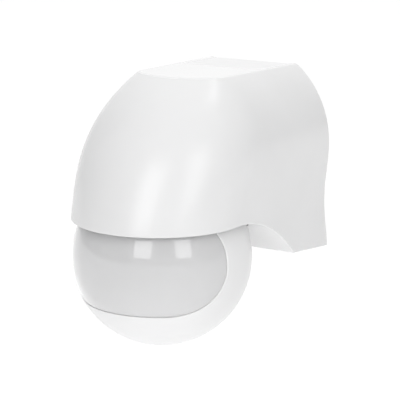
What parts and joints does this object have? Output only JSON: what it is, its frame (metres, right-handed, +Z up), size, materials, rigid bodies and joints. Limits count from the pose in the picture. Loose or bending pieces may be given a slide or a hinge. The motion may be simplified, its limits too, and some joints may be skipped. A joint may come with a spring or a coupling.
{
  "type": "motion sensor",
  "caption": "Wall-mounted motion sensor: a rounded white hood on a base plate, with a ball head beneath that turns and tilts, a wide milky lens and recessed adjuster knobs.",
  "frame": {"origin": "on the wall plane, midway between the two wall screw holes of the base plate", "axes": "+Y into the wall (the front faces -Y), +Z up, +X to the right seen from the front"},
  "size_m": [0.064, 0.0935, 0.0929],
  "materials": {
    "white_housing": "smooth satin white moulding",
    "white_head": "smooth satin white moulding",
    "milky_lens": "translucent milky polyethylene, smooth outside",
    "milky_frame": "satin",
    "black_rubber": "matt",
    "zinc_screws": "bright zinc plated",
    "steel_pins": "ground",
    "circuit_board": "green solder mask",
    "relay_case": "satin",
    "film_capacitor_case": "satin",
    "capacitor_sleeve": "shrink sleeve",
    "varistor_coating": "dipped coating",
    "fuse_body": "satin",
    "black_moulding": "matt",
    "cream_nylon": "satin",
    "terminal_moulding": "satin",
    "brass_terminals": "plated",
    "wire_insulation": "PVC insulation",
    "loom_sleeve": "woven sleeve",
    "grey_acetal": "smooth",
    "slip_washer": "smooth",
    "sensor_can": "nickel plated",
    "dark_filter": "polished",
    "red_led": "clear tinted",
    "light_cell": "clear coated",
    "trimmer_case": "satin",
    "adjuster_knob": "satin"
  },
  "bodies": {
    "housing": {"hood": "white_housing", "base_plate": "white_housing", "rear_gasket": "black_rubber", "cable_grommet": "black_rubber", "cover_screws": "zinc_screws", "ball_cup": "white_housing", "cup_screws": "zinc_screws", "power_board": "circuit_board", "power_board_screws": "zinc_screws", "relay": "relay_case", "film_capacitor": "film_capacitor_case", "smoothing_capacitor": "capacitor_sleeve", "varistor": "varistor_coating", "fuse": "fuse_body", "rectifier_diodes": "black_moulding", "board_connectors": "cream_nylon", "terminal_block": "terminal_moulding", "terminal_screws": "brass_terminals", "supply_wires": "wire_insulation", "sensor_loom": "loom_sleeve"},
    "swivel": {"yoke": "grey_acetal", "friction_washer": "slip_washer", "retaining_nut": "zinc_screws", "o_ring": "black_rubber", "sensor_leads": "wire_insulation"},
    "head": {"front_shell": "white_head", "rear_shell": "white_head", "shell_screws": "zinc_screws", "lens": "milky_lens", "lens_frame": "milky_frame", "sensor_board": "circuit_board", "sensor_board_screws": "zinc_screws", "pir_sensor": "sensor_can", "ir_filter": "dark_filter", "status_led": "red_led", "light_sensor": "light_cell", "control_chip": "black_moulding", "sensor_connector": "cream_nylon", "adjuster_board": "circuit_board", "adjuster_screws": "zinc_screws", "trimmers": "trimmer_case", "tilt_pins": "steel_pins", "tilt_washers": "slip_washer"},
    "lux_adjuster": {"lux_knob": "adjuster_knob"},
    "time_adjuster": {"time_knob": "adjuster_knob"},
    "sensitivity_adjuster": {"sensitivity_knob": "adjuster_knob"}
  },
  "joints": [
    {"name": "head_pan", "type": "hinge", "parent": "housing", "child": "swivel", "pos_m": [0, -0.0619, -0.028], "axis": [0, 0, 1], "range_deg": [-90, 90]},
    {"name": "head_tilt", "type": "hinge", "parent": "swivel", "child": "head", "pos_m": [0, -0.0619, -0.028], "axis": [1, 0, 0], "range_deg": [-20, 20]},
    {"name": "lux_turn", "type": "hinge", "parent": "head", "child": "lux_adjuster", "pos_m": [-0.011, -0.0629, -0.0535], "axis": [0, 0, 1], "range_deg": [-135, 135]},
    {"name": "time_turn", "type": "hinge", "parent": "head", "child": "time_adjuster", "pos_m": [0, -0.0629, -0.0535], "axis": [0, 0, 1], "range_deg": [-135, 135]},
    {"name": "sensitivity_turn", "type": "hinge", "parent": "head", "child": "sensitivity_adjuster", "pos_m": [0.011, -0.0629, -0.0535], "axis": [0, 0, 1], "range_deg": [-135, 135]}
  ]
}
